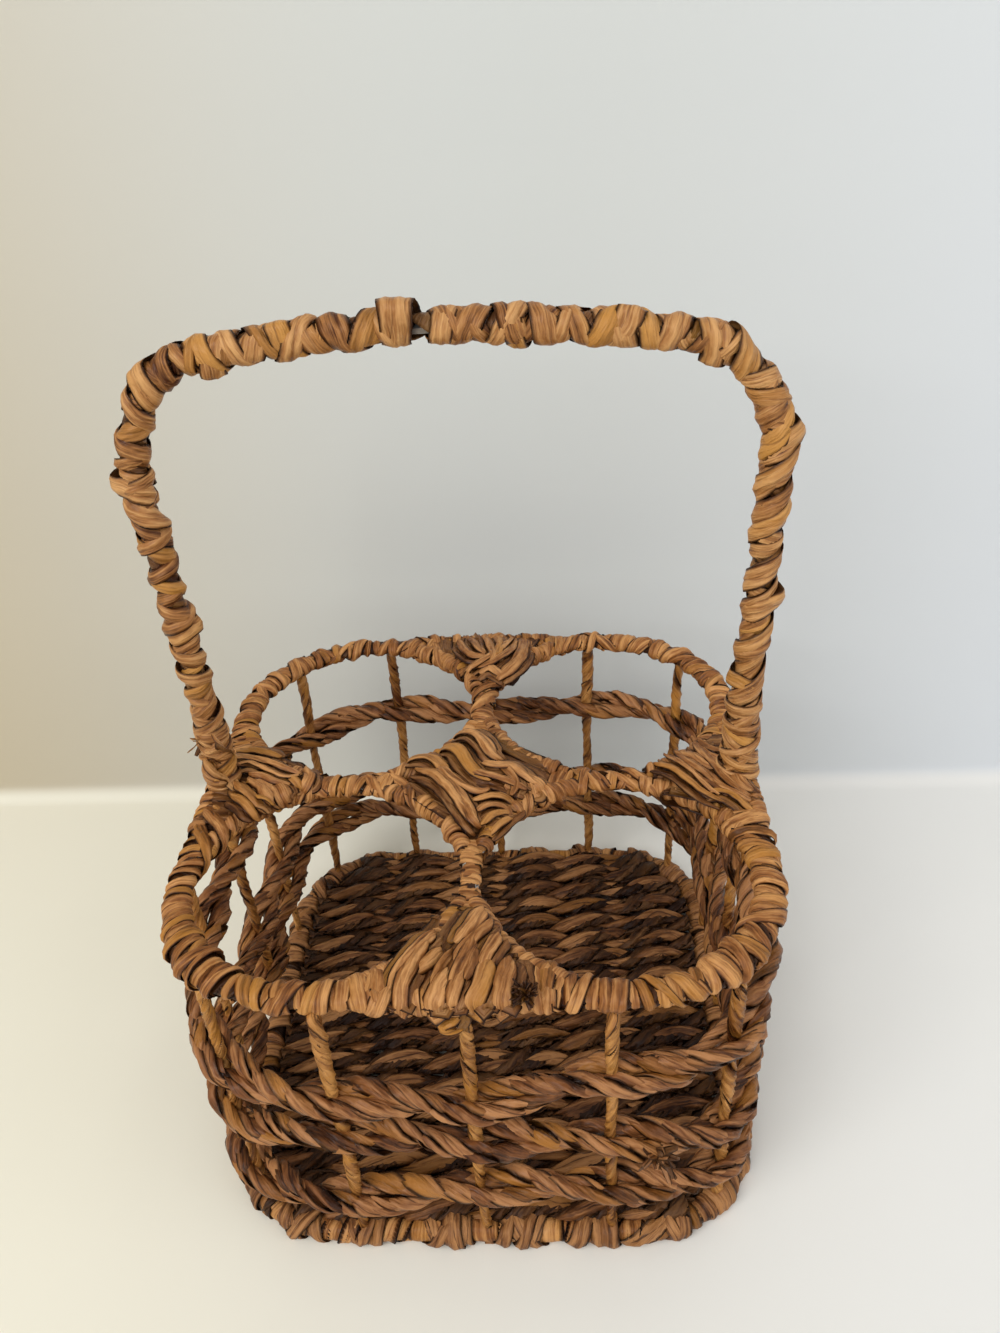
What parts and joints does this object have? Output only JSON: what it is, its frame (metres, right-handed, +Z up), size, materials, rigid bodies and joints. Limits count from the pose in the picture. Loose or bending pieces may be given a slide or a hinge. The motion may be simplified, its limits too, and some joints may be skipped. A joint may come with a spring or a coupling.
{
  "type": "wine bottle basket",
  "caption": "Square wire-framed basket bound and woven with dried leaf, with round cells for upright wine bottles and a tall carrying handle.",
  "frame": {"origin": "middle of the footprint, on the table that the basket stands on", "axes": "+Z up, the front faces -Y, and the handle spans the basket along X"},
  "size_m": [0.2512, 0.2508, 0.3668],
  "materials": {
    "wire_steel": "plain drawn steel wire, mostly hidden under the leaf",
    "rim_leaf": "tan brown dried leaf strip, satin on its ridges and dark in its folds",
    "web_leaf": "red brown dried leaf strip, matt",
    "handle_leaf": "wide tan brown dried leaf strip with a soft sheen",
    "stake_leaf": "light yellow brown dried leaf strip, tightly wound",
    "row_leaf": "dark red brown twisted leaf strand",
    "floor_leaf": "dark brown leaf strand, matt"
  },
  "bodies": {
    "root": {"bar_binding_back": "rim_leaf", "bar_binding_front": "rim_leaf", "bar_binding_left": "rim_leaf", "bar_binding_right": "rim_leaf", "base_binding": "rim_leaf", "base_wire": "wire_steel", "floor_rod_1": "floor_leaf", "floor_rod_2": "floor_leaf", "floor_rod_3": "floor_leaf", "floor_rod_4": "floor_leaf", "floor_rod_5": "floor_leaf", "floor_rod_6": "floor_leaf", "floor_weft": "floor_leaf", "handle_binding": "handle_leaf", "handle_lashing_left": "handle_leaf", "handle_lashing_right": "handle_leaf", "handle_wire": "wire_steel", "rim_binding_back_left": "rim_leaf", "rim_binding_back_right": "rim_leaf", "rim_binding_front_left": "rim_leaf", "rim_binding_front_right": "rim_leaf", "rim_wire": "wire_steel", "ring_wire_back_left": "wire_steel", "ring_wire_back_right": "wire_steel", "ring_wire_front_left": "wire_steel", "ring_wire_front_right": "wire_steel", "row_1_strand_a": "row_leaf", "row_1_strand_b": "row_leaf", "row_2_strand_a": "row_leaf", "row_2_strand_b": "row_leaf", "row_3_strand_a": "row_leaf", "row_3_strand_b": "row_leaf", "stake_01": "stake_leaf", "stake_02": "stake_leaf", "stake_03": "stake_leaf", "stake_04": "stake_leaf", "stake_05": "stake_leaf", "stake_06": "stake_leaf", "stake_07": "stake_leaf", "stake_08": "stake_leaf", "stake_09": "stake_leaf", "stake_10": "stake_leaf", "stake_11": "stake_leaf", "stake_12": "stake_leaf", "stake_13": "stake_leaf", "stake_14": "stake_leaf", "stake_15": "stake_leaf", "stake_16": "stake_leaf", "web_back": "web_leaf", "web_front": "web_leaf", "web_left": "web_leaf", "web_middle": "web_leaf", "web_right": "web_leaf"}
  },
  "joints": []
}
